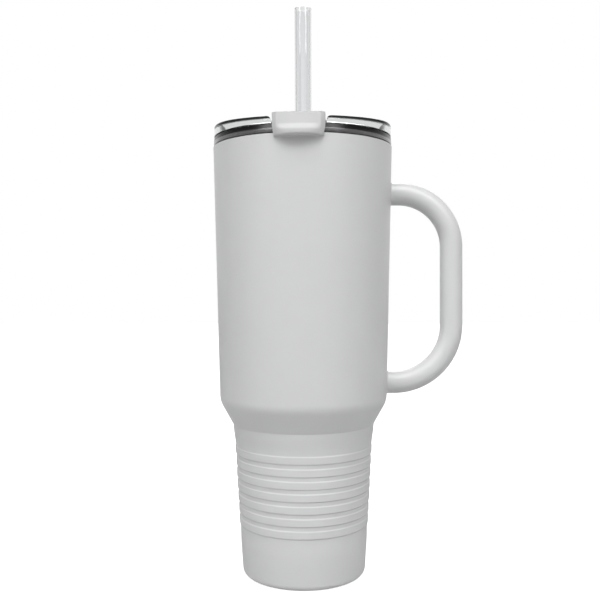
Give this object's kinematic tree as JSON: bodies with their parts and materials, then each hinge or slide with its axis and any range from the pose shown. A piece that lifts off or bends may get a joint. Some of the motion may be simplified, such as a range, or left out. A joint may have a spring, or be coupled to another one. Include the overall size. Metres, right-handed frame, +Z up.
{
  "type": "insulated tumbler with lid",
  "caption": "Double-walled steel mug with a narrow ringed lower part, a loop handle, and a clear press-in lid with a flip tab and a straight straw.",
  "frame": {"origin": "on the cup's axis, in the plane the cup stands on", "axes": "+Z up along the cup's axis; +X towards the handle; -Y towards the lid's flip tab"},
  "size_m": [0.1397, 0.1053, 0.322],
  "materials": {
    "powder_coat": "satin",
    "bare_steel": "satin",
    "base_steel": "satin",
    "solder_glass": "gloss",
    "getter_metal": "matte",
    "clear_plastic": "gloss",
    "straw_plastic": "gloss",
    "silicone": "matte",
    "tab_plastic": "satin"
  },
  "bodies": {
    "cup": {"outer_shell": "powder_coat", "inner_liner": "bare_steel", "inner_bottom": "bare_steel", "middle_bottom": "bare_steel", "vacuum_seal": "solder_glass", "getter": "getter_metal", "getter_cap": "bare_steel", "outer_bottom": "base_steel", "handle": "powder_coat", "handle_upper_boss": "bare_steel", "handle_lower_boss": "bare_steel"},
    "lid_seal": {"lid_gasket": "silicone"},
    "lid": {"lid_body": "clear_plastic", "straw_grommet": "silicone", "flap_hinge_pin": "bare_steel"},
    "tab": {"flap": "tab_plastic", "sip_plug": "silicone"},
    "straw": {"straw": "straw_plastic"}
  },
  "joints": [
    {"name": "lid_lift", "type": "slide", "parent": "cup", "child": "lid_seal", "axis": [0, 0, 1], "range_m": [0, 0.26]},
    {"name": "lid_turn", "type": "hinge", "parent": "lid_seal", "child": "lid", "pos_m": [0, 0, 0.2422], "axis": [0, 0, 1], "continuous": true},
    {"name": "tab_hinge", "type": "hinge", "parent": "lid", "child": "tab", "pos_m": [0, -0.014, 0.246], "axis": [-1, 0, 0], "range_deg": [0, 110]},
    {"name": "straw_slide", "type": "slide", "parent": "lid", "child": "straw", "axis": [0, 0, 1], "range_m": [0, 0.25]}
  ]
}
